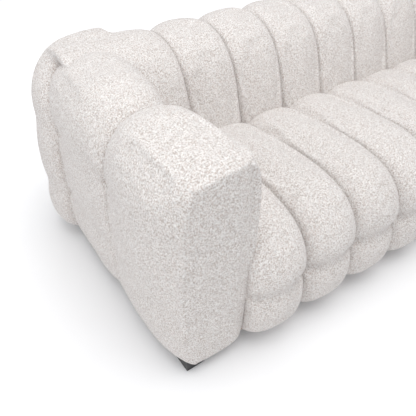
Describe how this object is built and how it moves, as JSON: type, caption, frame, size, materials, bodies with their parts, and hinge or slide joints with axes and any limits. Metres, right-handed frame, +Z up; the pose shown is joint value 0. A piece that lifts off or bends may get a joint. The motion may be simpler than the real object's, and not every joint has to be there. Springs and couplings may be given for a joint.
{
  "type": "tuxedo sofa",
  "caption": "Low wide sofa with arms as high as its back, padded all round in upright cream boucle channels, on small dark block feet.",
  "frame": {"origin": "middle of the footprint on the floor, under the middle of the overall box", "axes": "+X along the seat towards the sitter's left arm, which is the right one from the front; +Y from the front to the back; +Z up"},
  "size_m": [2.346, 0.99, 0.72],
  "materials": {
    "boucle": "looped cream boucle with a pinkish grey fleck",
    "boucle_panel": "the same cream boucle, stretched flat",
    "foam": "soft upholstery foam",
    "felt": "pressed grey felt",
    "dust_cloth": "thin black non-woven cloth",
    "webbing": "elastic webbing",
    "spring_steel": "oiled spring steel",
    "zinc_steel": "zinc plated",
    "hardboard": "smooth brown hardboard",
    "foot_black": "matt charcoal",
    "glide_felt": "dark soft pad",
    "timber": "planed softwood, unfinished"
  },
  "bodies": {
    "root": {"arm_base_rail_left": "timber", "arm_base_rail_right": "timber", "arm_front_channel_left": "boucle", "arm_front_channel_right": "boucle", "arm_front_panel_left": "boucle_panel", "arm_front_panel_right": "boucle_panel", "arm_front_post_left": "timber", "arm_front_post_right": "timber", "arm_inner_panels": "hardboard", "arm_outer_panel_left": "hardboard", "arm_outer_panel_right": "hardboard", "arm_rear_channel_left": "boucle", "arm_rear_channel_right": "boucle", "arm_rear_post_left": "timber", "arm_rear_post_right": "timber", "arm_top_board_left": "timber", "arm_top_board_right": "timber", "back_base_rail": "timber", "back_channel_1": "boucle", "back_channel_2": "boucle", "back_channel_3": "boucle", "back_channel_4": "boucle", "back_channel_5": "boucle", "back_channel_6": "boucle", "back_channel_7": "boucle", "back_foam_block": "foam", "back_outer_panel": "hardboard", "back_ribs": "timber", "back_top_board": "timber", "back_webbing": "webbing", "corner_blocks": "timber", "corner_channel_left": "boucle", "corner_channel_right": "boucle", "dust_cover": "dust_cloth", "feet_middle": "foot_black", "foot_front_left": "foot_black", "foot_front_right": "foot_black", "foot_glides": "glide_felt", "foot_rear_left": "foot_black", "foot_rear_right": "foot_black", "frame_bolts": "zinc_steel", "seat_channel_1": "boucle", "seat_channel_2": "boucle", "seat_channel_3": "boucle", "seat_channel_4": "boucle", "seat_channel_5": "boucle", "seat_channel_6": "boucle", "seat_channel_7": "boucle", "seat_channel_8": "boucle", "seat_channel_9": "boucle", "seat_cross_rails": "timber", "seat_foam_block": "foam", "seat_front_rail": "timber", "seat_side_rail_left": "timber", "seat_side_rail_right": "timber", "seat_spring_rail": "timber", "seat_springs": "spring_steel", "spring_clips": "zinc_steel", "spring_cover_felt": "felt", "threaded_inserts": "zinc_steel"}
  },
  "joints": []
}
